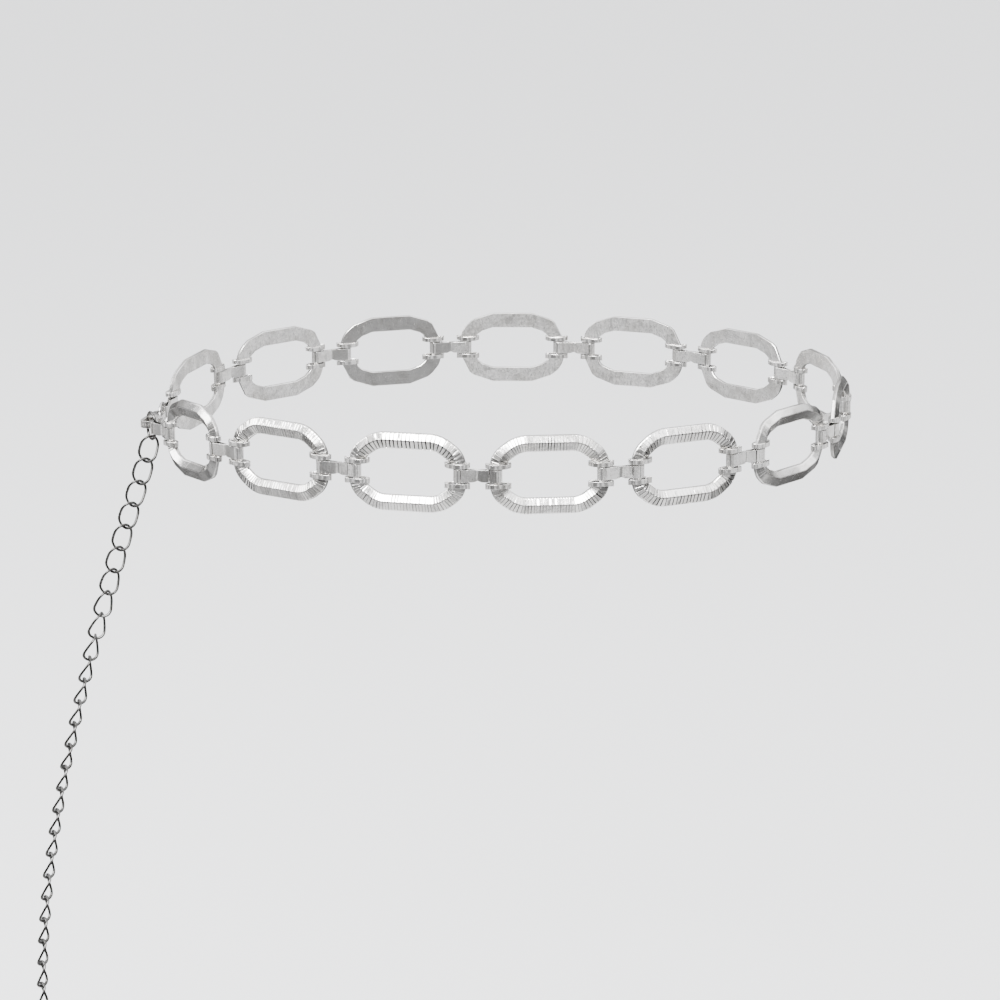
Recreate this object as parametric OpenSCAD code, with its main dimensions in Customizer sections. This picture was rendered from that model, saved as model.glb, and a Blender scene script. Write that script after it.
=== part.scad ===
// Waist chain: large cast links joined by pinched sheet-metal straps, closed at the wearer's
// side by a claw clasp, with a curb extension chain that hangs free over the hip.
// The belt keeps the form it has when worn. The origin is the middle of the waist loop,
// +Z is up, the front of the belt faces -Y and the closure lies at -X.

/* [Belt] */
// Number of large links
link_count = 14; // [12:1:16]
// Number of links at the front that are fluted
fluted_count = 4; // [0:1:6]
// Depth of the waist loop as a share of its width
waist_ratio = 0.84; // [0.75:0.01:0.95]
// Direction of the first link's outer bar on the loop's ellipse, in degrees
start_angle = 197.2; // [185:0.1:205]
// How far the closure hangs below the belt line
closure_sag = 3.5; // [0:0.1:4.5]
// Belt length on each side of the closure over which the sag fades out
sag_reach = 85; // [75:1:110]
// How far the first strap turns outward from the waist, in degrees
closure_turn = 9; // [0:1:15]
// Play between pieces that hang in one another
play = 0.15; // [0.12:0.01:0.2]

/* [Large link] */
// Length of the link's body
link_len = 39; // [36:0.5:46]
// Height of the link
link_h = 26.2; // [24:0.2:30]
// How far the bars lie inside the link's ends
bar_inset = 2.3; // [1.8:0.1:3]
// Width of the link's band
band_w = 5.4; // [4.6:0.1:5.8]
// Thickness of the band at its edges
band_edge = 1; // [0.8:0.1:1.4]
// Height of the band's ridge above its edges
band_crown = 1.6; // [1.0:0.1:1.9]
// Depth of the band's flat back behind the bars
band_back = 1.1; // [0.9:0.1:1.4]
// Size of the small facet along both edges of the band
edge_facet = 0.25; // [0.15:0.05:0.4]
// Radius of the two bends in each corner
corner_r = 7.5; // [6.5:0.1:8]
// Length of the straight part between them
corner_flat = 4; // [2:0.1:4.5]

/* [Flutes] */
// Distance from one flute to the next, along the ridge
flute_pitch = 1.5; // [1.2:0.1:2.5]
// Width of a flute
flute_w = 0.6; // [0.4:0.05:0.8]
// Depth of a flute
flute_depth = 0.22; // [0.1:0.02:0.35]

/* [Bars and flanges] */
// Radius of the bar at each end of a link
bar_r = 1; // [0.8:0.05:1.2]
// Height of the gap between the flanges, where a strap passes
bar_gap = 5; // [4.6:0.1:5.4]
// Length of a flange plate
flange_len = 8.5; // [7.5:0.1:9]
// Depth of a flange plate, front to back
flange_depth = 4.1; // [3.8:0.1:4.6]
// Thickness of a flange plate
flange_t = 1.1; // [0.9:0.1:1.4]
// How far the middle of a flange lies inward of its bar
flange_shift = 0.45; // [0:0.05:0.8]
// Radius of the small hole through the inner tip of a flange
tip_hole_r = 0.42; // [0.3:0.02:0.5]
// Distance of that hole from the tip
tip_hole_inset = 0.9; // [0.8:0.05:1.2]

/* [Straps] */
// Distance between the two eyes of a strap
strap_span = 12.4; // [12.2:0.1:14]
// Height of a strap
strap_h = 4.1; // [3.6:0.1:4.2]
// Thickness of the strap's sheet
strap_t = 0.6; // [0.5:0.01:0.7]
// Clearance between a bar and the strap's eye round it
eye_play = 0.15; // [0.12:0.01:0.2]
// How far the hollow beside each eye reaches toward the strap's middle
strap_hollow = 3.6; // [3:0.1:4.5]

/* [Clasp] */
// Distance from the clasp's hook to its eye
clasp_len = 12.5; // [11:0.5:16]
// Thickness of the clasp
clasp_t = 2.4; // [2:0.1:3]
// Radius of the hook's opening
hook_r = 1.6; // [1.4:0.1:2]
// Length of the straight part of the hook's opening
hook_slot = 3; // [2:0.1:4]
// Radius of the eye's opening
clasp_eye_r = 1; // [0.95:0.05:1.3]
// Width of metal around both openings
clasp_rim = 1.2; // [1:0.1:1.6]
// Radius of the thumb knob
knob_r = 1; // [0.7:0.1:1.3]

/* [Jump ring] */
// Radius of the ring, to the middle of its wire
ring_r = 3.5; // [3.3:0.1:4.2]
// Radius of the ring's wire
ring_wire_r = 0.45; // [0.35:0.05:0.5]

/* [Extension chain] */
// Number of links in the extension chain
chain_count = 28; // [5:1:30]
// Outer width of a chain link
chain_w = 7; // [6.6:0.1:7.6]
// Distance from one chain link to the next
chain_pitch = 8.35; // [8:0.05:9.5]
// Radius of the chain's wire
chain_wire_r = 0.475; // [0.4:0.025:0.5]
// How far a curb link is twisted from end to end, in degrees
chain_twist = 74; // [65:1:85]

/* [Hidden] */
// Smoothness of round surfaces
$fn = 48;
// Small overlap that joins pieces of one casting, and the finer one where surfaces run on
weld = 0.05;
seam_lap = 0.0002;

// The belt: bar 0 is the first link's outer bar, then come two bars for each link,
// and the last one is the free eye of the last strap.
link_span = link_len - 2 * bar_inset;
eye_r = bar_r + eye_play;
strap_out_r = eye_r + strap_t;
bar_count = 2 * link_count + 1;
chain_half_len = (chain_pitch + 4 * chain_wire_r + play) / 2;
chain_half_w = chain_w / 2 - chain_wire_r;
// The chain's first link hangs in the first strap's eye and in the clasp's hook; the strap
// leans by no more than the sag's steepest slope
lean_play = closure_sag * PI / (2 * sag_reach) * strap_h / 2;
end_link_offset = eye_r - chain_wire_r - play - lean_play;
end_link_far = end_link_offset + 2 * chain_half_w;
hook_play = hook_r - chain_wire_r - play;
// The jump ring's wire lies off the middle of the clasp's eye and of the last strap's eye, by
// the room there less how far the ring bows out over the clasp's thickness
function bow(r, h) = r - sqrt(r * r - h * h / 4);
clasp_eye_play = clasp_eye_r - ring_wire_r - play - bow(ring_r, clasp_t);
strap_eye_play = eye_r - ring_wire_r - play;
clasp_reach = hook_play + clasp_len;
closure_rest = clasp_reach + clasp_eye_play + 2 * ring_r - strap_eye_play;
closure_half = (end_link_far + closure_rest) / 2;
belt_run = link_count * link_span + (link_count + 1) * strap_span + 2 * closure_half;

// Place of each bar along the belt, from the closure's middle, and its height
function bar_run(i) = closure_half + strap_span
    + floor((i + 1) / 2) * link_span + floor(i / 2) * strap_span;
function sag_at(run) = let (s = min(run, belt_run - run))
    s < sag_reach ? -closure_sag * (1 + cos(180 * s / sag_reach)) / 2 : 0;
function bar_z(i) = sag_at(bar_run(i));
function level_span(i) = let (rise = bar_z(i + 1) - bar_z(i))
    sqrt(pow(i % 2 == 0 ? link_span : strap_span, 2) - rise * rise);

// The bars stand on an ellipse, each one span from the last
function on_loop(t, a) = [a * cos(t), a * waist_ratio * sin(t)];
function turn_for(t, a, span, guess, tries) = tries == 0 ? guess
    : turn_for(t, a, span, guess * span / norm(on_loop(t + guess, a) - on_loop(t, a)), tries - 1);
function bar_angles(a) = [for (i = 0, t = start_angle; i < bar_count;
    t = t + turn_for(t, a, level_span(i), 10, 8), i = i + 1) t];
function toward(azimuth, dist) = [dist * cos(azimuth), dist * sin(azimuth)];

// The first strap and the end link leave the ellipse in one straight line
function closure_azimuth(a) = atan2(-a * waist_ratio * cos(start_angle), a * sin(start_angle))
    + closure_turn;
function rest_of_loop(a) = let (last = on_loop(bar_angles(a)[bar_count - 1], a),
    hooked = on_loop(start_angle, a) + toward(closure_azimuth(a), strap_span + end_link_far))
    norm(last - hooked);

// The ellipse's half width is the one that leaves just the closure's length open
loop_guess = belt_run / (PI * (3 * (1 + waist_ratio)
    - sqrt((3 + waist_ratio) * (1 + 3 * waist_ratio))));
function solve_loop(low, high, tries) = let (mid = (low + high) / 2)
    tries == 0 ? mid
    : rest_of_loop(mid) < closure_rest ? solve_loop(mid, high, tries - 1)
    : solve_loop(low, mid, tries - 1);
loop_a = solve_loop(0.985 * loop_guess, 1.015 * loop_guess, 22);

bar_at = let (angles = bar_angles(loop_a))
    [for (i = [0:bar_count - 1]) concat(on_loop(angles[i], loop_a), bar_z(i))];
first_azimuth = closure_azimuth(loop_a);
first_rise = sag_at(closure_half) - bar_z(0);
first_run = sqrt(strap_span * strap_span - first_rise * first_rise);
first_eye = bar_at[0] + concat(toward(first_azimuth, first_run), first_rise);
end_link_at = first_eye + concat(toward(first_azimuth, end_link_offset + chain_half_w), 0);
hooked_at = first_eye + concat(toward(first_azimuth, end_link_far), 0);
last_eye = bar_at[bar_count - 1];
clasp_dir = (last_eye - hooked_at) / norm(last_eye - hooked_at);
clasp_azimuth = atan2(clasp_dir[1], clasp_dir[0]);
clasp_eye_at = hooked_at + clasp_reach * clasp_dir;
ring_at = clasp_eye_at + (clasp_eye_play + ring_r) * clasp_dir;

// Which links are fluted: the front ones, starting with the second
first_fluted = 2;
fluted = [for (n = [1:link_count]) n >= first_fluted && n < first_fluted + fluted_count];

// How the extension chain hangs: share of its length, lean away from the body and
// turn of the links' faces away from the front, both in degrees
chain_hang = [
    // share, lean, turn
    [0.00, 13, 10],
    [0.10, 19, 0],
    [0.25, 15, 15],
    [0.40, 15, 70],
    [0.55, 13, 80],
    [0.75, 8, 80],
    [0.90, 4, 85],
    [1.00, 0, 85]];
hang_lean = [for (row = chain_hang) [row[0], row[1]]];
hang_turn = [for (row = chain_hang) [row[0], row[2]]];
function chain_share(k) = k / (chain_count - 1);
function chain_lean(k) = k == 0 ? 0 : lookup(chain_share(k), hang_lean);
function chain_down(k) = [-sin(chain_lean(k)), 0, -cos(chain_lean(k))];
function chain_at(k) = k == 0 ? end_link_at
    : chain_at(k - 1) + chain_pitch / 2 * (chain_down(k - 1) + chain_down(k));
chain_sides = 6;
chain_bend_steps = 6;

function two_digits(n) = n < 10 ? str("0", n) : str(n);
LINK_NODES = [for (n = [1:link_count]) str("link_", two_digits(n))];
STRAP_NODES = [for (n = [1:link_count + 1]) str("strap_", two_digits(n))];

// Stands a flat piece, made in the XY plane with its front up, between two points of the belt
module between(p, q) {
    d = q - p;
    translate((p + q) / 2)
        rotate([0, -atan2(d[2], norm([d[0], d[1]])), atan2(d[1], d[0])])
            rotate([90, 0, 0])
                children();
}

// Section of the band: x is the distance from the outer edge, y the height.
// lowered makes the roof that much lower, for the floor of a flute.
function roof(lowered) = let (edge_z = band_edge - band_back - lowered) [
    [0, edge_z],
    [edge_facet, edge_z + edge_facet],
    [band_w / 2, edge_z + band_crown],
    [band_w - edge_facet, edge_z + edge_facet],
    [band_w, edge_z]];
band_section = concat([[0, -band_back]], roof(0), [[band_w, -band_back]]);
flute_top = band_crown + band_edge;
flute_section = concat([[-weld, flute_top]], [[-weld, roof(flute_depth)[0][1]]],
    roof(flute_depth), [[band_w + weld, roof(flute_depth)[4][1]]], [[band_w + weld, flute_top]]);

// A straight stretch of a section along +X, with the outer edge on the X axis and the band
// below; it laps a hair's breadth over what it adjoins
module stretch(section, length) {
    translate([-seam_lap, 0, 0])
        rotate([90, 0, 90])
            linear_extrude(length + 2 * seam_lap)
                polygon([for (p = section) [-p[0], p[1]]]);
}

// A bend of a section about the origin, from one angle to another
module bend(section, from, sweep) {
    rotate([0, 0, from])
        rotate_extrude(angle = sweep)
            polygon([for (p = section) [corner_r - p[0], p[1]]]);
}

// The straight part of a corner rises 3 for every 4 along
side_bend = atan2(4, 3);
top_bend = 90 - side_bend;
side_centre = [link_len / 2 - corner_r, link_h / 2 - corner_r - 0.6 * corner_flat, 0];
top_centre = [link_len / 2 - corner_r - 0.8 * corner_flat, link_h / 2 - corner_r, 0];
side_run = side_centre[1] - bar_gap / 2;
top_run = top_centre[0];

// Lays a stretch along the straight part of a corner, between its two bends
module across_corner() {
    translate(side_centre)
        rotate([0, 0, side_bend])
            translate([corner_r, 0, 0])
                rotate([0, 0, 90])
                    mirror([0, 1, 0])
                        children();
}

// One quarter of the band, from the end of the side gap round to the middle of the top
module quarter_band() {
    translate([link_len / 2, side_centre[1], 0])
        rotate([0, 0, -90])
            stretch(band_section, side_run - seam_lap);
    translate(side_centre)
        bend(band_section, 0, side_bend);
    across_corner()
        stretch(band_section, corner_flat);
    translate(top_centre)
        bend(band_section, side_bend, top_bend);
    translate([0, link_h / 2, 0])
        stretch(band_section, top_run);
}

// Flutes: parallel across the straight stretches, fanned in the bends
ridge_r = corner_r - band_w / 2;
flute_sweep = flute_w / ridge_r * 180 / PI;
function flutes_in(length) = max(1, round(length / flute_pitch));

module flutes_across(length) {
    count = flutes_in(length);
    for (k = [0:count - 1])
        translate([(k + 0.5) * length / count - flute_w / 2, 0, 0])
            stretch(flute_section, flute_w);
}

module flutes_round(from, sweep) {
    count = flutes_in(ridge_r * sweep * PI / 180);
    for (k = [0:count - 1])
        bend(flute_section, from + (k + 0.5) * sweep / count - flute_sweep / 2, flute_sweep);
}

module quarter_flutes() {
    translate(side_centre)
        flutes_round(0, side_bend);
    across_corner()
        flutes_across(corner_flat);
    translate(top_centre)
        flutes_round(side_bend, top_bend);
    translate([0, link_h / 2, 0])
        flutes_across(top_run);
}

// Oval plate that carries a bar, with its small tip hole
module flange() {
    end_x = flange_len / 2 - flange_depth / 2;
    difference() {
        rotate([-90, 0, 0])
            linear_extrude(flange_t)
                union() {
                    square([2 * end_x, flange_depth], center = true);
                    translate([end_x, 0])
                        circle(d = flange_depth);
                    translate([-end_x, 0])
                        circle(d = flange_depth);
                }
        translate([tip_hole_inset - flange_len / 2, -weld, 0])
            rotate([-90, 0, 0])
                cylinder(r = tip_hole_r, h = flange_t + 2 * weld);
    }
}

// A large link, flat: band, four flanges and two bars in one casting
module large_link(with_flutes) {
    color(with_flutes ? "silver" : "gainsboro") {
        for (sx = [0, 1])
            mirror([sx, 0, 0]) {
                for (sy = [0, 1])
                    mirror([0, sy, 0]) {
                        difference() {
                            quarter_band();
                            if (with_flutes)
                                quarter_flutes();
                        }
                        translate([link_span / 2 - flange_shift, bar_gap / 2, 0])
                            flange();
                    }
                translate([link_span / 2, -bar_gap / 2 - weld, 0])
                    rotate([-90, 0, 0])
                        cylinder(r = bar_r, h = bar_gap + 2 * weld);
            }
    }
}

// A strap, flat: sheet wrapped round two bars and pinched in the middle
module strap() {
    pinch_inner = strap_span / 2 - strap_hollow;
    color("lightgray")
        rotate([90, 0, 0])
            translate([0, 0, -strap_h / 2])
                linear_extrude(strap_h)
                    difference() {
                        union() {
                            for (s = [-1, 1])
                                translate([s * strap_span / 2, 0])
                                    circle(r = strap_out_r);
                            polygon([
                                [-strap_span / 2, -strap_out_r], [0, -strap_t],
                                [strap_span / 2, -strap_out_r], [strap_span / 2, strap_out_r],
                                [0, strap_t], [-strap_span / 2, strap_out_r]]);
                        }
                        for (s = [-1, 1]) {
                            translate([s * strap_span / 2, 0])
                                circle(r = eye_r);
                            polygon([[s * strap_span / 2, -eye_r], [s * pinch_inner, 0],
                                [s * strap_span / 2, eye_r]]);
                        }
                    }
}

// The claw clasp: a flat claw with its hook's opening at the origin and its eye along +X
module clasp() {
    claw_r = hook_r + clasp_rim;
    eye_out_r = clasp_eye_r + clasp_rim;
    color("gainsboro")
        translate(hooked_at)
            rotate([0, 0, clasp_azimuth])
                translate([hook_play, 0, -clasp_t / 2])
                    linear_extrude(clasp_t)
                        difference() {
                            union() {
                                circle(r = claw_r);
                                translate([hook_slot, 0])
                                    circle(r = claw_r);
                                translate([0, -claw_r])
                                    square([hook_slot, 2 * claw_r]);
                                polygon([[hook_slot, -claw_r], [clasp_len, -eye_out_r],
                                    [clasp_len, eye_out_r], [hook_slot, claw_r]]);
                                translate([clasp_len, 0])
                                    circle(r = eye_out_r);
                                translate([hook_slot + claw_r / 2, -claw_r])
                                    circle(r = knob_r);
                            }
                            circle(r = hook_r);
                            translate([hook_slot, 0])
                                circle(r = hook_r);
                            translate([0, -hook_r])
                                square([hook_slot, 2 * hook_r]);
                            translate([clasp_len, 0])
                                circle(r = clasp_eye_r);
                        }
}

// The round ring between the clasp and the last strap, standing in the belt's line
module jump_ring() {
    color("lightgray")
        translate(ring_at)
            rotate([90, 0, clasp_azimuth])
                rotate_extrude()
                    translate([ring_r, 0])
                        circle(r = ring_wire_r);
}

// Middle line of a chain link: an oval with straight sides, twisted about its long axis Z
function link_path(twist) = let (straight = chain_half_len - chain_wire_r - chain_half_w,
    oval = [for (half = [0, 1]) for (k = [0:chain_bend_steps + 1])
        k <= chain_bend_steps
        ? let (u = 180 * (half + k / chain_bend_steps))
            [chain_half_w * cos(u), (half == 0 ? straight : -straight) + chain_half_w * sin(u)]
        : [half == 0 ? -chain_half_w : chain_half_w, 0]])
    [for (p = oval) let (turned = twist * p[1] / (2 * (straight + chain_half_w)))
        [p[0] * cos(turned), p[0] * sin(turned), p[1]]];
function link_axis(path, i, twist) = let (turned = twist * path[i][2]
    / (2 * (chain_half_len - chain_wire_r))) [-sin(turned), cos(turned), 0];
function unit(v) = v / norm(v);

// A chain link: a thin wire swept round its closed middle line
module chain_link(twist) {
    path = link_path(twist);
    rings = len(path);
    points = [for (i = [0:rings - 1])
        let (along = unit(path[(i + 1) % rings] - path[(i + rings - 1) % rings]),
            side = unit(cross(along, link_axis(path, i, twist))),
            front = cross(side, along))
        for (s = [0:chain_sides - 1]) let (u = 360 * s / chain_sides)
            path[i] + chain_wire_r * (cos(u) * side + sin(u) * front)];
    faces = [for (i = [0:rings - 1]) for (s = [0:chain_sides - 1])
        let (a = i * chain_sides + s, b = i * chain_sides + (s + 1) % chain_sides,
            c = ((i + 1) % rings) * chain_sides + s,
            d = ((i + 1) % rings) * chain_sides + (s + 1) % chain_sides)
        for (face = [[a, b, c], [b, d, c]]) face];
    polyhedron(points = points, faces = faces);
}

// The extension chain: a flat end link in the first strap's eye, then twisted curb links
module extender_chain() {
    color("darkgray")
        for (k = [0:chain_count - 1])
            translate(chain_at(k))
                if (k == 0)
                    rotate([0, 0, first_azimuth])
                        chain_link(0);
                else
                    rotate([0, chain_lean(k), 0])
                        rotate([0, 0, lookup(chain_share(k), hang_turn)])
                            chain_link(chain_twist);
}

for (n = [1:link_count])
    between(bar_at[2 * n - 2], bar_at[2 * n - 1])
            large_link(fluted[n - 1]);
for (n = [1:link_count + 1])
    between(n == 1 ? first_eye : bar_at[2 * n - 3], bar_at[2 * n - 2])
            strap();
clasp();
jump_ring();
extender_chain();
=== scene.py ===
import math
import random

import bmesh
import bpy
import numpy as np
from mathutils import Matrix, Vector


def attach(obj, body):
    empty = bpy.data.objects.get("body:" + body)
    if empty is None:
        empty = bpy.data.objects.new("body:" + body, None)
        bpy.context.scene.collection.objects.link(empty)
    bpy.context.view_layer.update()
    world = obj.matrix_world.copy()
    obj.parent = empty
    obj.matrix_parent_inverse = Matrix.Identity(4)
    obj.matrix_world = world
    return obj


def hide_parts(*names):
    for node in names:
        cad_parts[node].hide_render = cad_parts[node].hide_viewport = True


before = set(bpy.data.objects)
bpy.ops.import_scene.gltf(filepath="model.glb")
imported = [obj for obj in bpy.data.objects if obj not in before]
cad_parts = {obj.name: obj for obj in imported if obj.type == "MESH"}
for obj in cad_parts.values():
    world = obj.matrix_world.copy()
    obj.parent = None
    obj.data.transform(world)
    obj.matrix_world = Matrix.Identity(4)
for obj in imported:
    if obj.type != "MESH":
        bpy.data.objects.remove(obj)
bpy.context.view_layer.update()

mm = 0.001


# Large links. Zinc castings plated with bright silver: a band bent to an oval octagon, with a
# ridge along its middle and a flat back. Each end is open, and carries two oval flange plates
# with an upright bar between them. The four front links are pressed with uneven flutes.
link_count = 14
link_len, link_h = 39.0, 26.2
band_w, band_back = 5.4, -1.1
side_bend_r, top_bend_r, corner_offset = 8.5, 12.0, 17.26
ridge_shift, ridge_fade = 0.5, 0.16
bar_r, bar_gap, bar_bury, bar_inset = 1.0, 5.0, 0.4, 2.3
flange_len, flange_depth, flange_t, flange_shift = 8.5, 4.1, 1.5, 0.45
flange_bevel, tip_lift = 0.1, 0.35
tip_hole_r, tip_hole_inset = 0.42, 0.9
tray_rim, tray_wall, tray_depth = 0.14, 0.08, 0.2


def verts_of(geom):
    """The vertices among what an operator made."""
    return [part for part in geom if isinstance(part, bmesh.types.BMVert)]


def edges_of(geom):
    """The edges among what an operator made."""
    return [part for part in geom if isinstance(part, bmesh.types.BMEdge)]


def once(parts):
    """Each part once, in the order in which they come; a set's order differs between runs."""
    return list(dict.fromkeys(parts))


def own_axes(co, tri):
    """The middle of a closed mesh and its main axes, the longest spread last."""
    corners = co[tri]
    normals = np.cross(corners[:, 1] - corners[:, 0], corners[:, 2] - corners[:, 0])
    area = np.linalg.norm(normals, axis=1)
    mids = np.concatenate([(corners[:, i] + corners[:, (i + 1) % 3]) / 2 for i in range(3)])
    spread = np.cov(mids.T, aweights=np.tile(area, 3))
    return Vector((co.min(0) + co.max(0)) / 2), [Vector(a) for a in np.linalg.eigh(spread)[1].T]


def seat(node):
    """Where a flat piece sits: its X runs along the belt, its Y up and its Z outwards."""
    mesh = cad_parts[node].data
    mesh.calc_loop_triangles()
    co = np.array([v.co for v in mesh.vertices])
    middle, axes = own_axes(co, np.array([t.vertices for t in mesh.loop_triangles]))
    up = max(axes, key=lambda a: abs(a.z))
    away = [a for a in axes if a is not up][0]
    up = up if up.z > 0 else -up
    away = away if away.dot(middle) > 0 else -away
    turn = Matrix((up.cross(away), up, away)).transposed()
    local = co @ np.array(turn)
    centre = turn @ Vector((local.min(0) + local.max(0)) / 2)
    return Matrix.Translation(centre) @ turn.to_4x4() @ Matrix.Scale(mm, 4)


def as_piece(bm, name, place, finish, sharp=20):
    """Turns a shape drawn in millimetres, flat at the origin, into an object in its place."""
    bmesh.ops.transform(bm, matrix=place, verts=bm.verts)
    mesh = bpy.data.meshes.new(name)
    bm.to_mesh(mesh)
    bm.free()
    mesh.shade_smooth()
    mesh.set_sharp_from_angle(angle=math.radians(sharp))
    mesh.materials.append(finish)
    piece = bpy.data.objects.new(name, mesh)
    bpy.context.scene.collection.objects.link(piece)
    return piece


# the band's section: distance from the outer edge, height
slope_half = [(0.18, band_back), (0.0, band_back + 0.16), (0.0, -0.2), (0.04, -0.06), (0.14, 0.06),
              (0.3, 0.178), (0.42, 0.244), (1.4, 0.784), (2.34, 1.302), (2.48, 1.379), (2.6, 1.424)]
band_half = band_w / 2
mirrored_half = [(band_w - x, z) for x, z in reversed(slope_half)]
band_section = slope_half + [(band_half, 1.438)] + mirrored_half
# the corner's straight part lies at corner_offset from the link's middle, between two bends,
# and faces the direction corner_x, corner_y
corner_x, corner_y = 0.6, 0.8
across_corner = Vector((corner_x, corner_y, 0))
side_bend = math.atan2(4, 3)
top_bend = math.pi / 2 - side_bend
side_centre = Vector((link_len / 2 - side_bend_r, 0, 0))
side_centre.y = (corner_offset - side_bend_r - corner_x * side_centre.x) / corner_y
top_centre = Vector((0, link_h / 2 - top_bend_r, 0))
top_centre.x = (corner_offset - top_bend_r - corner_y * top_centre.y) / corner_x
corner_run = top_centre + across_corner * top_bend_r - side_centre - across_corner * side_bend_r
side_ridge_r, top_ridge_r = side_bend_r - band_half, top_bend_r - band_half
band_start = side_centre.y
to_left = Vector((-1, 1, 1))
# the half band from the right flange over the top to the left one: the length along the
# ridge, the shift or the bend's centre, and the angle that it bends by
half_band = [(side_ridge_r * side_bend, side_centre, side_bend),
             (corner_run.length, corner_run, 0),
             (top_ridge_r * top_bend, top_centre, top_bend),
             (2 * top_centre.x, Vector((-2 * top_centre.x, 0, 0)), 0),
             (top_ridge_r * top_bend, top_centre * to_left, top_bend),
             (corner_run.length, corner_run * Vector((1, -1, 1)), 0),
             (side_ridge_r * side_bend, side_centre * to_left, side_bend)]
half_band_length = sum(move[0] for move in half_band)
bend_step, straight_step, corner_gap = 0.7, 3, 0.02
# the heights above which the section moves with the ridge, and above which flutes are pressed
shift_above, slopes_above = -0.3, 0.1
# a flute's flat floor as a share of its width, and the depth at which its painted shade is full
flute_floor, dark_depth = 0.45, 0.2
# how much painted shade the band's side walls and the flange trays get
side_painted_shade, tray_painted_shade = 0.5, 0.3


def halts(begun, length, angle, stations):
    """Where the section halts along one move of the half band, and the flute pressed there."""
    steps = max(1, round(length / (bend_step if angle else straight_step)))
    stops = [(begun + length * (i + 1) / steps, None) for i in range(steps)]
    if stations:
        stops = [s for s in stations
                 if begun + corner_gap < s[0] < begun + length - corner_gap] + stops[-1:]
    return stops


def sweep_half_band(bm, flutes, turned):
    """Sweeps the section round half of the link and presses the flutes into its slopes."""
    across, painted_shade_layer = bm.verts.layers.float["across"], bm.verts.layers.float["pressed"]
    ring = []
    for x, z in band_section:
        vert = bm.verts.new((link_len / 2 - x, band_start, z))
        vert[across] = x
        # the band's side walls get painted shade
        vert[painted_shade_layer] = side_painted_shade if band_back + 0.1 < z < -0.1 else 0
        ring.append(vert)
    edges = [bm.edges.new((ring[i - 1], ring[i])) for i in range(len(ring))]
    bm.faces.new(ring)
    swept, pressed, rings = list(ring), [], []
    stations = sorted(((place + side * half, (depths, slant) if abs(side) < 1 else None)
                       for place, half, depths, slant in flutes
                       for side in (-1, -flute_floor, flute_floor, 1)),
                      key=lambda station: station[0])
    begun = 0.0
    for length, where, angle in half_band:
        done = begun
        for stop, press in halts(begun, length, angle, stations):
            made = bmesh.ops.extrude_edge_only(bm, edges=edges)["geom"]
            ring, edges = verts_of(made), edges_of(made)
            share = (stop - done) / length
            if angle:
                turn = Matrix.Rotation(angle * share, 3, "Z")
                bmesh.ops.rotate(bm, cent=where, matrix=turn, verts=ring)
            else:
                bmesh.ops.translate(bm, vec=where * share, verts=ring)
            swept += ring
            rings.append((sorted(ring, key=lambda v: v[across]), stop / half_band_length))
            if press:
                pressed.append((ring, press, Vector() if angle else where.normalized()))
            done = stop
        begun += length
    bmesh.ops.edgeloop_fill(bm, edges=edges)
    # the ridge lies off the band's middle: outwards in the upper half, inwards in the lower one
    for ring, share in rings:
        full = min(share, 1 - share, ridge_fade) / ridge_fade
        shift = (ring[-1].co - ring[0].co).normalized() * (1 if turned else -1)
        for vert in ring:
            if vert.co.z > shift_above:
                near_ridge = 1 - abs(vert[across] - band_half) / band_half
                vert.co += shift * ridge_shift * full * near_ridge
    # each flute gets painted shade that grows with its depth, most near the ridge
    for ring, ((outer, inner), slant), along in pressed:
        for vert in ring:
            if vert.co.z > slopes_above:
                side = (vert[across] - band_half) / band_half
                depth = outer + (inner - outer) * min(max(side * 3 + 0.5, 0), 1)
                vert.co += Vector((0, 0, -depth)) + along * slant * side
                vert[painted_shade_layer] = min(depth / dark_depth, 1) * (1.15 - 0.45 * abs(side))
    if turned:
        half_turn = Matrix.Rotation(math.pi, 3, "Z")
        bmesh.ops.rotate(bm, cent=(0, 0, 0), matrix=half_turn, verts=swept)


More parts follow.
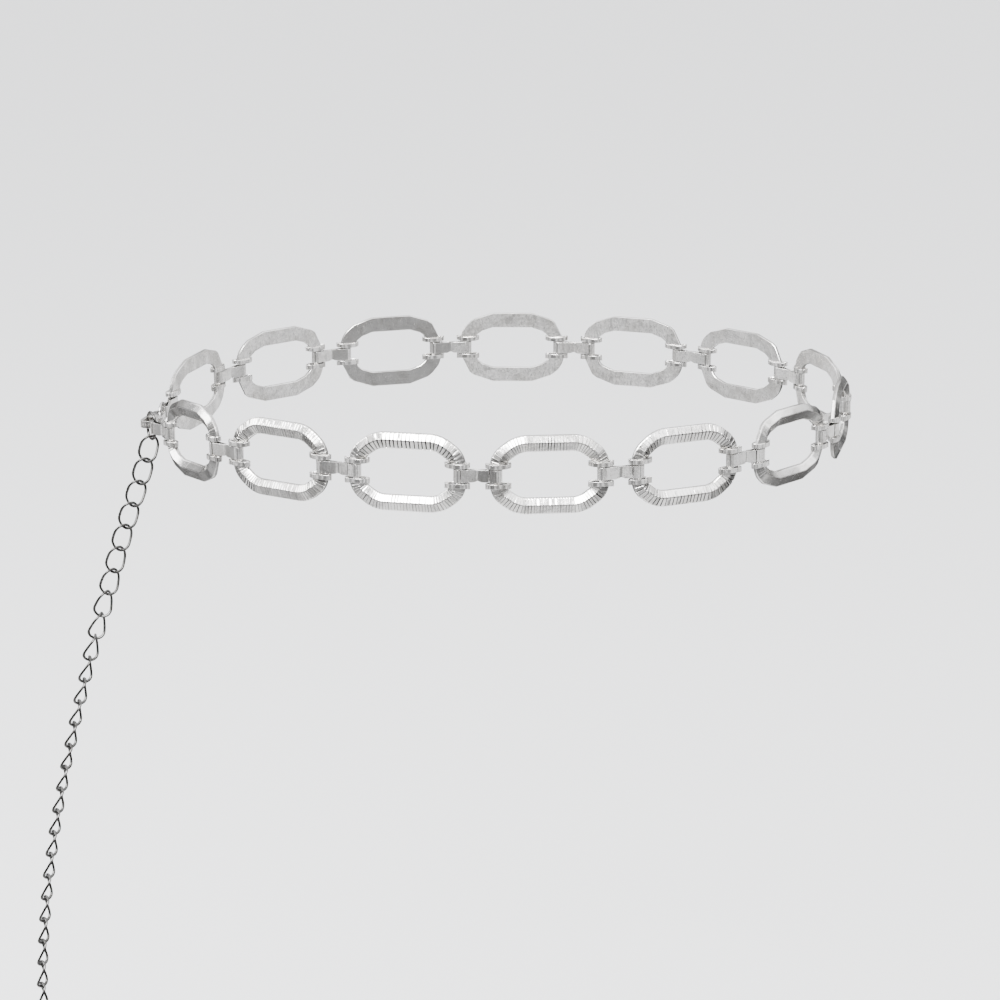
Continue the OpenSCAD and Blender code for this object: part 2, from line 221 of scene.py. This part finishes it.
def add_flange(bm, right, upper):
    """An oval plate with rounded rims, a hole by each tip and a shallow tray in both faces."""
    painted_shade_layer = bm.verts.layers.float["pressed"]
    before = set(bm.verts)
    rim = bmesh.ops.create_circle(bm, segments=36, radius=flange_depth / 2)["verts"]
    for vert in rim:
        vert.co.x *= flange_len / flange_depth
    holes = []
    for tip in (-1, 1):
        hole = bmesh.ops.create_circle(bm, segments=16, radius=tip_hole_r)["verts"]
        bmesh.ops.translate(bm, vec=((flange_len / 2 - tip_hole_inset) * tip, 0, 0), verts=hole)
        holes += hole
    outline = once(edge for vert in rim + holes for edge in vert.link_edges)
    filled = bmesh.ops.triangle_fill(bm, use_beauty=True, edges=outline)["geom"]
    tray = [f for f in filled if isinstance(f, bmesh.types.BMFace)]
    lifted = bmesh.ops.extrude_face_region(bm, geom=tray, use_keep_orig=True)["geom"]
    bmesh.ops.translate(bm, vec=(0, 0, flange_t), verts=verts_of(lifted))
    plate = [v for v in bm.verts if v not in before]
    plate_faces = once(f for v in plate for f in v.link_faces)
    bmesh.ops.recalc_face_normals(bm, faces=plate_faces)
    outside = [f for f in plate_faces if f.normal.z > 0.9]
    rims = [e for e in once(e for v in plate for e in v.link_edges) if e.calc_face_angle(0) > 1.4]
    for faces in (tray, outside):
        for thickness, depth in ((tray_rim, 0), (tray_wall, -tray_depth)):
            bmesh.ops.inset_region(bm, faces=faces, thickness=thickness, depth=depth,
                                   use_even_offset=True)
        # painted shade: full by the tip holes, lighter over the trays
        for vert in once(v for f in faces for v in f.verts):
            from_hole = abs(abs(vert.co.x) - flange_len / 2 + tip_hole_inset)
            by_hole = math.hypot(from_hole, vert.co.y) < 2 * tip_hole_r
            vert[painted_shade_layer] = 1 if by_hole else tray_painted_shade
    bmesh.ops.bevel(bm, geom=rims, offset=flange_bevel, segments=2, profile=0.5,
                    affect="EDGES", material=-1)
    plate = [v for v in bm.verts if v not in before]
    # the tips lift; the inner face of a lower plate stays flat
    for vert in plate:
        if upper or vert.co.z > flange_t / 2:
            vert.co.z += tip_lift * (2 * vert.co.x / flange_len) ** 4
    place = Matrix.Translation((link_len / 2 - bar_inset - flange_shift, bar_gap / 2, 0))
    stand = Matrix.Rotation(-math.pi / 2, 4, "X")
    flip = Matrix.Diagonal((1 if right else -1, 1 if upper else -1, 1, 1))
    bmesh.ops.transform(bm, matrix=flip @ (place @ stand), verts=plate)


def add_bar(bm, right):
    """The upright bar that a strap turns on; its ends reach into the flange plates."""
    bar = bmesh.ops.create_cone(bm, cap_ends=True, segments=32, radius1=bar_r, radius2=bar_r,
                                depth=bar_gap + 2 * bar_bury)["verts"]
    place = Matrix.Translation(((link_len / 2 - bar_inset) * (1 if right else -1), 0, 0))
    bmesh.ops.transform(bm, matrix=place @ Matrix.Rotation(math.pi / 2, 4, "X"), verts=bar)


# how the halves of the links are pressed: pitch, depth on the outer and on the inner slope,
# lean of the flutes, and the stretch (as shares of the half band) where they are deepest;
# a top half runs from right to left and a bottom half from left to right
pressing = {"link_02": [(0.95, 0.08, 0.17, 0.1, 0.03, 0.25), (0.95, 0.12, 0.03, 0.1, 0.75, 1.0)],
            "link_03": [(1.32, 0.07, 0.26, 0.0, 0.1, 0.85), (1.0, 0.12, 0.04, 0.05, 0.1, 0.3)],
            "link_04": [(0.98, 0.13, 0.16, 0.1, 0.45, 0.6), (1.0, 0.15, 0.07, 0.0, 0.8, 1.0)],
            "link_05": [(1.25, 0.09, 0.26, 0.3, 0.05, 0.6), (1.25, 0.24, 0.05, -0.3, 0.5, 1.0)]}
flute_margin, deep_force, light_force = 0.7, 1.25, 0.8
worn_half_width = 0.14


def press_pattern(pitch, outer, inner, lean, deep_from, deep_to, rng):
    """Uneven flutes along half of a link, as a press worked by hand leaves them."""
    flutes, place = [], flute_margin
    while place < half_band_length - flute_margin:
        deep = deep_from < place / half_band_length < deep_to
        force = (deep_force if deep else light_force) * rng.uniform(0.55, 1.15)
        half = pitch * rng.uniform(0.13, 0.2)
        flutes.append((place, half, (outer * force, inner * force), lean * rng.uniform(0.2, 1.4)))
        place += pitch * rng.uniform(0.86, 1.16)
    return flutes


def worn_pattern(rng):
    """The few faint flutes that polishing left by one end of a plain half."""
    place = rng.uniform(1.0, 2.0)
    flutes = []
    for _ in range(rng.randint(3, 5)):
        depths = rng.uniform(0.01, 0.03), rng.uniform(0.01, 0.04)
        flutes.append((place, worn_half_width, depths, rng.uniform(-0.4, 0.4)))
        place += rng.uniform(0.7, 1.0)
    return flutes


# the plate's colours: bright and dull silver, brown tarnish, and a near-black for painted shade in
# flutes, side walls, trays and holes, which also darkens small pits
bright, dull = (0.93, 0.92, 0.905, 1), (0.80, 0.785, 0.76, 1)
tarnished, shade_and_pit_black = (0.42, 0.39, 0.35, 1), (0.02, 0.019, 0.018, 1)


def plate_wear_and_shade_group():
    """Wear of the silver plate, what handling, casting and tarnish leave on every piece, with
    painted shade in its recesses.
    """
    group = bpy.data.node_groups.new("silver_plate_wear_and_shade", "ShaderNodeTree")
    for name in ("Grain Scale", "Tarnish", "Painted Shade", "Polish", "Shine"):
        group.interface.new_socket(name=name, in_out="INPUT", socket_type="NodeSocketFloat")
    group.interface.new_socket(name="Color", in_out="OUTPUT", socket_type="NodeSocketColor")
    for name in ("Roughness", "Height"):
        group.interface.new_socket(name=name, in_out="OUTPUT", socket_type="NodeSocketFloat")
    nodes, links = group.nodes, group.links
    given, result = nodes.new("NodeGroupInput"), nodes.new("NodeGroupOutput")
    place = nodes.new("ShaderNodeTexCoord")

    def noise(scale, detail, stretch=None):
        texture = nodes.new("ShaderNodeTexNoise")
        texture.inputs["Scale"].default_value = scale
        texture.inputs["Detail"].default_value = detail
        spot = place.outputs["Object"]
        if stretch:
            mapping = nodes.new("ShaderNodeMapping")
            mapping.inputs["Scale"].default_value = stretch
            mapping.inputs["Rotation"].default_value = (0.2, 0.5, 0.9)
            links.new(spot, mapping.inputs["Vector"])
            spot = mapping.outputs[0]
        links.new(spot, texture.inputs["Vector"])
        return texture

    def maths(operation, first, second, clamp=False):
        node = nodes.new("ShaderNodeMath")
        node.operation, node.use_clamp = operation, clamp
        for socket, value in zip(node.inputs, (first, second)):
            if isinstance(value, (int, float)):
                socket.default_value = value
            else:
                links.new(value, socket)
        return node.outputs[0]

    def spread(value, low, high, to_low=0.0, to_high=1.0):
        node = nodes.new("ShaderNodeMapRange")
        for name, number in (("From Min", low), ("From Max", high),
                             ("To Min", to_low), ("To Max", to_high)):
            node.inputs[name].default_value = number
        links.new(value, node.inputs["Value"])
        return node.outputs["Result"]

    def mix(share, first, second):
        node = nodes.new("ShaderNodeMix")
        node.data_type = "RGBA"
        for name, value in (("Factor", share), ("A", first), ("B", second)):
            if isinstance(value, tuple):
                node.inputs[name].default_value = value
            else:
                links.new(value, node.inputs[name])
        return node.outputs["Result"]

    patches = spread(noise(130, 4).outputs["Fac"], 0.42, 0.68)
    ripple = noise(420, 2).outputs["Fac"]
    wave = noise(120, 1).outputs["Fac"]
    grain_noise = noise(900, 3)
    links.new(given.outputs["Grain Scale"], grain_noise.inputs["Scale"])
    grain = grain_noise.outputs["Fac"]
    scratches = spread(noise(240, 5, (1, 14, 1)).outputs["Fac"], 0.6, 0.66)
    hairlines = spread(noise(300, 5, (11, 1, 3)).outputs["Fac"], 0.6, 0.65)
    pits = spread(noise(1500, 1).outputs["Fac"], 0.7, 0.78)

    # painted shade: the mask darkens the colour towards near-black in flutes, side walls, trays and
    # holes; pits darken a little as well
    painted_shade = maths("MULTIPLY", given.outputs["Painted Shade"], spread(grain, 0.2, 0.6, 0.75, 1.1), True)
    tarnish = maths("MULTIPLY", patches, given.outputs["Tarnish"])
    stain = maths("MULTIPLY", tarnish, spread(grain, 0.3, 0.7), True)
    painted_shade_and_pits = maths("MAXIMUM", painted_shade, maths("MULTIPLY", pits, 0.3))
    color = mix(painted_shade_and_pits, mix(stain, mix(patches, bright, dull), tarnished), shade_and_pit_black)
    shine = nodes.new("ShaderNodeVectorMath")
    shine.operation = "SCALE"
    links.new(color, shine.inputs[0])
    links.new(given.outputs["Shine"], shine.inputs["Scale"])
    links.new(shine.outputs[0], result.inputs["Color"])

    rough = maths("ADD", given.outputs["Polish"], spread(grain, 0.3, 0.75, 0.0, 0.07))
    rough = maths("ADD", rough, maths("MULTIPLY", maths("MAXIMUM", scratches, hairlines), 0.10))
    rough = maths("ADD", rough, maths("MULTIPLY", painted_shade, 0.35), True)
    links.new(rough, result.inputs["Roughness"])

    height = maths("ADD", maths("MULTIPLY", ripple, 0.6), maths("MULTIPLY", grain, 0.16))
    height = maths("ADD", height, maths("MULTIPLY", wave, 3.0))
    lines = maths("MULTIPLY", maths("ADD", scratches, hairlines), 0.05)
    height = maths("SUBTRACT", height, lines)
    height = maths("SUBTRACT", height, maths("MULTIPLY", pits, 0.12))
    links.new(height, result.inputs["Height"])
    return group


plate_wear_and_shade = plate_wear_and_shade_group()


def silver_plate(name, grain, tarnish, polish, bump, painted_shade=None, shine=1.0):
    """A bright silver finish; the named attribute paints shade into flutes, side walls, trays and
    holes.
    """
    material = bpy.data.materials.new(name)
    material.use_nodes = True
    tree = material.node_tree
    shader = tree.nodes["Principled BSDF"]
    shader.inputs["Metallic"].default_value = 1
    wear_and_shade = tree.nodes.new("ShaderNodeGroup")
    wear_and_shade.node_tree = plate_wear_and_shade
    for label, value in (("Grain Scale", grain), ("Tarnish", tarnish),
                         ("Polish", polish), ("Shine", shine)):
        wear_and_shade.inputs[label].default_value = value
    if painted_shade:
        mask = tree.nodes.new("ShaderNodeAttribute")
        mask.attribute_name = painted_shade
        curve = tree.nodes.new("ShaderNodeMapRange")
        curve.inputs["From Min"].default_value = 0.15
        curve.inputs["From Max"].default_value = 0.75
        tree.links.new(mask.outputs["Fac"], curve.inputs["Value"])
        tree.links.new(curve.outputs["Result"], wear_and_shade.inputs["Painted Shade"])
    relief = tree.nodes.new("ShaderNodeBump")
    relief.inputs["Strength"].default_value = bump
    relief.inputs["Distance"].default_value = 0.0002
    tree.links.new(wear_and_shade.outputs["Color"], shader.inputs["Base Color"])
    tree.links.new(wear_and_shade.outputs["Roughness"], shader.inputs["Roughness"])
    tree.links.new(wear_and_shade.outputs["Height"], relief.inputs["Height"])
    tree.links.new(relief.outputs["Normal"], shader.inputs["Normal"])
    return material


# the links' pressed attribute paints shade into their flutes, side walls, trays and holes
link_finish = silver_plate("cast_link_silver", grain=900, tarnish=0.25, polish=0.14, bump=0.35,
                           painted_shade="pressed")

for number in range(1, link_count + 1):
    node = f"link_{number:02d}"
    rng = random.Random(100 + number)
    bm = bmesh.new()
    for layer in ("across", "pressed"):
        bm.verts.layers.float.new(layer)
    for half in (0, 1):
        if node in pressing:
            pattern = press_pattern(*pressing[node][half], rng)
        else:
            pattern = worn_pattern(rng)
        sweep_half_band(bm, pattern, turned=half == 1)
    for right in (True, False):
        add_bar(bm, right)
        for upper in (True, False):
            add_flange(bm, right, upper)
    bmesh.ops.recalc_face_normals(bm, faces=bm.faces)
    link = as_piece(bm, "cast_" + node, seat(node), link_finish)
    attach(link, "root")
    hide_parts(node)


# Straps. Each is one strip of plated sheet, wrapped round the bars of two neighbouring links
# and pinched together in its middle. A dark seam shows at each end of its front leaf, and the
# leaf's lower edge is nicked where the pinch pulls it in.
strap_count = 15
strap_span, strap_h, strap_t = 12.4, 4.1, 0.6
eye_x = strap_span / 2
eye_r = bar_r + 0.15
leaf_slope = math.atan(eye_r / eye_x)
eye_reach = math.radians(92) + leaf_slope
left_seam, right_seam, seam_width, seam_sink = -5.45, 3.6, 0.25, 0.16
nick_depth, nick_reach = 0.5, 1.3
strap_bevel = 0.07
leaf_steps, eye_steps = 6, 20
strap_finish = silver_plate("sheet_strap_silver", grain=1300, tarnish=0.15, polish=0.14, bump=0.3)


def leaf_height(x):
    """Height of the front leaf's outer face at a distance from the pinch."""
    return strap_t + eye_r * abs(x) / eye_x


def nick(x):
    """How far the pinch has pulled the leaf's lower edge up."""
    return nick_depth * max(0, 1 - abs(x) / nick_reach)


def bend_strip(bm, stations):
    """A strip of sheet through stations: inner and outer point of its middle, nick and dent."""
    half = strap_h / 2
    edges = None
    for (in_x, in_z), (out_x, out_z), nicked, dent in stations:
        places = [(in_x, nicked - half, in_z), (out_x, nicked - half, out_z),
                  (out_x, 0, out_z + dent), (out_x, half, out_z), (in_x, half, in_z)]
        if edges is None:
            ring = [bm.verts.new(place) for place in places]
            bm.faces.new(ring)
            edges = [bm.edges.get((ring[i - 1], ring[i])) for i in range(len(ring))]
            continue
        made = bmesh.ops.extrude_edge_only(bm, edges=edges)["geom"]
        edges, fresh = edges_of(made), set(verts_of(made))
        ring = [next(e.other_vert(v) for e in v.link_edges if e.other_vert(v) in fresh)
                for v in ring]
        for vert, place in zip(ring, places):
            vert.co = place
    bmesh.ops.edgeloop_fill(bm, edges=edges)


def on_leaf(x, sunk, dent):
    """A station of the front leaf; it dips towards its seams."""
    top = leaf_height(x) - sunk
    return (x, top - strap_t), (x, top), nick(x), dent


def round_eye(side):
    """The stations of the eye on one side, from the seam round the bar to the back leaf."""
    lap = left_seam - seam_width if side < 0 else right_seam + seam_width
    stations = [((lap, leaf_height(lap) - strap_t), (lap, leaf_height(lap)), 0, 0)]
    centre = Vector((side * eye_x, 0))
    for step in range(eye_steps + 1):
        angle = eye_reach * (1 - step / (eye_steps / 2))
        lie = Vector((side * math.cos(angle), math.sin(angle)))
        stations.append((centre + lie * eye_r, centre + lie * (eye_r + strap_t), 0, 0))
    return stations


back_leaf = [((x, strap_t - leaf_height(x)), (x, -leaf_height(x)), nick(x), 0)
             for x in (-nick_reach, 0, nick_reach)]

for number in range(1, strap_count + 1):
    node = f"strap_{number:02d}"
    rng = random.Random(200 + number)
    bm = bmesh.new()
    dents = {-1: rng.uniform(-0.05, 0.02), 1: rng.uniform(-0.05, 0.02)}
    front_leaf = []
    for step in range(-leaf_steps, leaf_steps + 1):
        seam_at = abs(left_seam) if step < 0 else right_seam
        share = abs(step) / leaf_steps
        side = 1 if step > 0 else -1
        dent = dents[side] * math.sin(math.pi * share)
        front_leaf.append(on_leaf(side * share * seam_at, seam_sink * share, dent))
    bend_strip(bm, front_leaf)
    bend_strip(bm, round_eye(-1) + back_leaf + round_eye(1)[::-1])
    bmesh.ops.recalc_face_normals(bm, faces=bm.faces)
    corners = [e for e in bm.edges if len(e.link_faces) == 2 and e.calc_face_angle(0) > 1.2]
    bmesh.ops.bevel(bm, geom=corners, offset=strap_bevel, segments=2, profile=0.5,
                    affect="EDGES", material=-1)
    strap = as_piece(bm, "sheet_" + node, seat(node), strap_finish)
    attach(strap, "root")
    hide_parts(node)


# Closure. A flat cast claw, its hook's opening to the first chain link and its small eye to a
# round wire ring that passes through the last strap's eye. Both hang out of sight at the side.
claw_bevel = 0.3
ring_r, ring_wire_r, butt_gap = 3.5, 0.45, 0.05
claw_finish = silver_plate("cast_claw_silver", grain=1000, tarnish=0.2, polish=0.13, bump=0.3)
ring_finish = silver_plate("round_ring_silver", grain=1600, tarnish=0.2, polish=0.12, bump=0.2,
                           shine=0.5)


def merged_copy(node):
    """A copy of a node's mesh in millimetres, with its loose triangles joined."""
    bm = bmesh.new()
    bm.from_mesh(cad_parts[node].data)
    bmesh.ops.scale(bm, vec=(1 / mm, 1 / mm, 1 / mm), verts=bm.verts)
    bmesh.ops.remove_doubles(bm, verts=bm.verts, dist=0.001)
    return bm


# the claw keeps the casting's outline; its edges are rounded by the mould and by tumbling
bm = merged_copy("clasp")
bmesh.ops.dissolve_limit(bm, angle_limit=math.radians(1), verts=bm.verts, edges=bm.edges)
rims = [e for e in bm.edges if len(e.link_faces) == 2 and e.calc_face_angle(0) > 1.2
        and any(len(f.verts) > 8 for f in e.link_faces)]
bmesh.ops.bevel(bm, geom=rims, offset=claw_bevel, segments=4, profile=0.5, affect="EDGES",
                clamp_overlap=True, material=-1)
bmesh.ops.recalc_face_normals(bm, faces=bm.faces)
claw = as_piece(bm, "cast_claw", Matrix.Scale(mm, 4), claw_finish, sharp=40)
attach(claw, "root")
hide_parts("clasp")

# the ring is wire bent round until its two ends nearly meet
ring_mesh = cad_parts["jump_ring"].data
middle, axes = own_axes(np.array([v.co for v in ring_mesh.vertices]),
                        np.array([p.vertices for p in ring_mesh.polygons]))
thin = min(axes, key=lambda a: max(abs(a.dot(Vector(v.co) - middle)) for v in ring_mesh.vertices))
stand = thin.to_track_quat("Z", "Y").to_matrix().to_4x4()
bm = bmesh.new()
wire = bmesh.ops.create_circle(bm, cap_ends=True, segments=20, radius=ring_wire_r)["verts"]
wire_place = Matrix.Translation((ring_r, 0, 0)) @ Matrix.Rotation(math.pi / 2, 4, "X")
bmesh.ops.transform(bm, matrix=wire_place, verts=wire)
bmesh.ops.spin(bm, geom=wire[0].link_faces[:], cent=(0, 0, 0), axis=(0, 0, 1), dvec=(0, 0, 0),
               angle=math.tau - butt_gap / ring_r, steps=96)
bmesh.ops.recalc_face_normals(bm, faces=bm.faces)
ring_place = Matrix.Translation(middle) @ stand @ Matrix.Scale(mm, 4)
loop = as_piece(bm, "round_ring", ring_place, ring_finish, sharp=40)
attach(loop, "root")
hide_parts("jump_ring")


# Extension chain. Curb links of round wire, each a long oval twisted by nearly a quarter turn,
# so that neighbours nest; the first one is flat and hangs in the first strap's eye. The chain
# hangs free from there.
wire_r, wire_half_w, wire_half_len = 0.475, 3.025, 5.2
wire_sides, oval_steps = 14, 14
oval_straight = wire_half_len - wire_r - wire_half_w
curb_twist = math.radians(74)
chain_finish = silver_plate("curb_chain_silver", grain=1500, tarnish=0.5, polish=0.17, bump=0.25,
                            shine=0.13)


def draw_wire(bm, edges, rise):
    """Draws the wire's open end out along Z in two equal steps."""
    for _ in range(2):
        made = bmesh.ops.extrude_edge_only(bm, edges=edges)["geom"]
        bmesh.ops.translate(bm, vec=(0, 0, rise / 2), verts=verts_of(made))
        edges = edges_of(made)
    return edges


def curb_link():
    """One oval of wire at the origin, its long axis along Z and its width along X, untwisted."""
    bm = bmesh.new()
    rim = bmesh.ops.create_circle(bm, segments=wire_sides, radius=wire_r)["verts"]
    bmesh.ops.translate(bm, vec=(wire_half_w, 0, 0), verts=rim)
    edges = once(e for v in rim for e in v.link_edges)
    for side in (1, -1):
        edges = draw_wire(bm, edges, side * oval_straight)
        bent = bmesh.ops.spin(bm, geom=edges, cent=(0, 0, side * oval_straight), axis=(0, 1, 0),
                              dvec=(0, 0, 0), angle=-math.pi, steps=oval_steps)["geom_last"]
        edges = draw_wire(bm, edges_of(bent), -side * oval_straight)
    bmesh.ops.remove_doubles(bm, verts=bm.verts, dist=0.002)
    bmesh.ops.recalc_face_normals(bm, faces=bm.faces)
    return bm


def loose_parts(bm):
    """The separate rings in a mesh, from the top down."""
    met, parts = set(), []
    for start in bm.verts:
        if start in met:
            continue
        met.add(start)
        part = [start]
        for vert in part:
            fresh = [e.other_vert(vert) for e in vert.link_edges if e.other_vert(vert) not in met]
            met.update(fresh)
            part += fresh
        parts.append(part)
    return sorted(parts, key=lambda part: -max(v.co.z for v in part))


source = merged_copy("extender_chain")
chain = bmesh.new()
for number, part in enumerate(loose_parts(source)):
    for index, vert in enumerate(part):
        vert.index = index
    faces = once(f for v in part for f in v.link_faces)
    middle, axes = own_axes(np.array([v.co for v in part]),
                            np.array([[v.index for v in f.verts] for f in faces]))
    long, wide = axes[2], axes[1]
    bm = curb_link()
    twist = 0 if number == 0 else curb_twist / (2 * (oval_straight + wire_half_w))
    for vert in bm.verts:
        vert.co.xy = Matrix.Rotation(twist * vert.co.z, 2) @ vert.co.xy
    lie = Matrix((wide, long.cross(wide), long)).transposed().to_4x4()
    bmesh.ops.transform(bm, matrix=Matrix.Translation(middle) @ lie, verts=bm.verts)
    mesh = bpy.data.meshes.new("curb_link")
    bm.to_mesh(mesh)
    bm.free()
    chain.from_mesh(mesh)
    bpy.data.meshes.remove(mesh)
source.free()
curb = as_piece(chain, "curb_chain", Matrix.Scale(mm, 4), chain_finish, sharp=60)
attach(curb, "root")
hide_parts("extender_chain")


# The studio: a wide pale floor of matt paper, one large soft light above the front, a smaller
# one at the left, and a soft surround of bright and dim bands for the plate to reflect.
def area_light(name, place, aim, size, power):
    """A round soft light at a place, turned to what it aims at."""
    lamp = bpy.data.lights.new(name, "AREA")
    lamp.shape, lamp.size, lamp.energy = "DISK", size, power
    lamp_object = bpy.data.objects.new(name, lamp)
    lamp_object.location = place
    lamp_object.rotation_euler = (Vector(aim) - Vector(place)).to_track_quat("-Z", "Y").to_euler()
    bpy.context.scene.collection.objects.link(lamp_object)


area_light("key_light", (-0.35, -1.1, 1.25), (0, 0, 0), 1.1, 80)
area_light("side_light", (-1.5, 0.1, 0.6), (0, 0, -0.05), 0.8, 14)

floor_r, floor_z = 9, -0.29
floor_color = (0.78, 0.787, 0.795, 1)
bm = bmesh.new()
bmesh.ops.create_circle(bm, cap_ends=True, segments=96, radius=floor_r)
floor_mesh = bpy.data.meshes.new("floor")
bm.to_mesh(floor_mesh)
bm.free()
floor = bpy.data.objects.new("floor", floor_mesh)
floor.location = (0, 0, floor_z)
# the plate reflects the surround's lower half in place of the floor
floor.visible_glossy = False
bpy.context.scene.collection.objects.link(floor)
paper = bpy.data.materials.new("floor_paper")
paper.use_nodes = True
shader = paper.node_tree.nodes["Principled BSDF"]
shader.inputs["Base Color"].default_value = floor_color
shader.inputs["Roughness"].default_value = 0.9
floor_mesh.materials.append(paper)

world = bpy.data.worlds.new("studio")
bpy.context.scene.world = world
world.use_nodes = True
tree = world.node_tree
tree.nodes.clear()
nodes, links = tree.nodes, tree.links


place = nodes.new("ShaderNodeTexCoord")
split = nodes.new("ShaderNodeSeparateXYZ")
links.new(place.outputs["Generated"], split.inputs[0])


def grey_ramp(stops, blue=1.0):
    """A ramp of greys through stops of position and value."""
    node = nodes.new("ShaderNodeValToRGB")
    while len(node.color_ramp.elements) < len(stops):
        node.color_ramp.elements.new(0.5)
    for element, (at, value) in zip(node.color_ramp.elements, stops):
        element.position, element.color = at, (value, value, value * blue, 1)
    return node


def from_direction(axis):
    """One axis of the direction that is looked in, from 0 to 1."""
    node = nodes.new("ShaderNodeMapRange")
    node.inputs["From Min"].default_value, node.inputs["From Max"].default_value = -1, 1
    links.new(split.outputs[axis], node.inputs["Value"])
    return node.outputs["Result"]


height, sideways = from_direction("Z"), from_direction("X")

# the bands from the nadir to the zenith
bands = grey_ramp([(0.0, 2.7), (0.06, 1.8), (0.18, 0.55), (0.3, 0.2), (0.34, 0.4), (0.385, 1.7),
                   (0.43, 0.5), (0.49, 0.2), (0.57, 0.25), (0.63, 0.8), (0.68, 1.2), (0.75, 2.8),
                   (0.88, 4.4), (1.0, 4.2)], blue=1.01)
links.new(height, bands.inputs["Fac"])

# dark cards stand here and there around the studio, so that the metal has something to reflect
cards = nodes.new("ShaderNodeTexNoise")
cards.inputs["Scale"].default_value = 4.2
cards.inputs["Detail"].default_value = 0.5
links.new(place.outputs["Generated"], cards.inputs["Vector"])
shade = nodes.new("ShaderNodeMapRange")
for name, value in (("From Min", 0.42), ("From Max", 0.53), ("To Min", 0.35), ("To Max", 1.15)):
    shade.inputs[name].default_value = value
links.new(cards.outputs["Fac"], shade.inputs["Value"])

# and a low dark one stands left of the front
low_card = grey_ramp([(0.0, 1.0), (0.2, 1.0), (0.27, 0.25), (0.4, 0.25), (0.46, 1.0), (1.0, 1.0)])
low_card_rise = grey_ramp([(0.28, 0.0), (0.33, 1.0), (0.43, 1.0), (0.5, 0.0)])
low_card_share = nodes.new("ShaderNodeMix")
low_card_share.inputs["A"].default_value = 1
links.new(sideways, low_card.inputs["Fac"])
links.new(height, low_card_rise.inputs["Fac"])
links.new(low_card_rise.outputs["Color"], low_card_share.inputs["Factor"])
links.new(low_card.outputs["Color"], low_card_share.inputs["B"])
both = nodes.new("ShaderNodeMath")
both.operation = "MULTIPLY"
links.new(shade.outputs["Result"], both.inputs[0])
links.new(low_card_share.outputs["Result"], both.inputs[1])

surround = nodes.new("ShaderNodeBackground")
links.new(bands.outputs["Color"], surround.inputs["Color"])
links.new(both.outputs[0], surround.inputs["Strength"])
# the camera sees an even pale backdrop behind the floor
backdrop = nodes.new("ShaderNodeBackground")
backdrop.inputs["Color"].default_value = (2.2, 2.22, 2.25, 1)
path = nodes.new("ShaderNodeLightPath")
seen = nodes.new("ShaderNodeMixShader")
out = nodes.new("ShaderNodeOutputWorld")
links.new(path.outputs["Is Camera Ray"], seen.inputs["Fac"])
links.new(surround.outputs[0], seen.inputs[1])
links.new(backdrop.outputs[0], seen.inputs[2])
links.new(seen.outputs[0], out.inputs["Surface"])

# the camera stands 1.2 m in front of the belt's middle and looks down by 14.5 degrees
look_down = math.radians(14.53)
camera_data = bpy.data.cameras.new("camera")
camera_data.lens, camera_data.sensor_width = 126.72, 36
camera_data.clip_end = 50
camera = bpy.data.objects.new("camera", camera_data)
camera.location = (-0.00135, -1.2033, 0.2778)
camera.rotation_euler = (math.pi / 2 - look_down, 0, 0)
bpy.context.scene.collection.objects.link(camera)
bpy.context.scene.camera = camera
